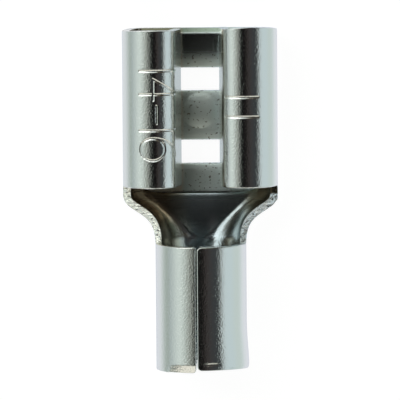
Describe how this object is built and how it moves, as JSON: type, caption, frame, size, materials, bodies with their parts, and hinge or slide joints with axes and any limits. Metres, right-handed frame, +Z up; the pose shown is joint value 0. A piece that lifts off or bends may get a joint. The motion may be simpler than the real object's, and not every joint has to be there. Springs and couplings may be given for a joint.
{
  "type": "female spade terminal",
  "caption": "Folded sheet-metal push-on terminal: two rolled walls that grip a flat tab, a windowed base with a detent, a funnel and a round seamed barrel that is crimped on a wire.",
  "frame": {"origin": "under the middle of the overall box, on the surface that the flat base lies on", "axes": "+Y towards the mouth that takes the tab, -Y towards the wire entry, +Z up from the base towards the rolled walls, +X to the right"},
  "size_m": [0.0078, 0.0168, 0.0047],
  "materials": {
    "tin_plate": "bright tin plating on brass sheet, burnished where it was rolled"
  },
  "bodies": {
    "root": {"terminal": "tin_plate"}
  },
  "joints": []
}
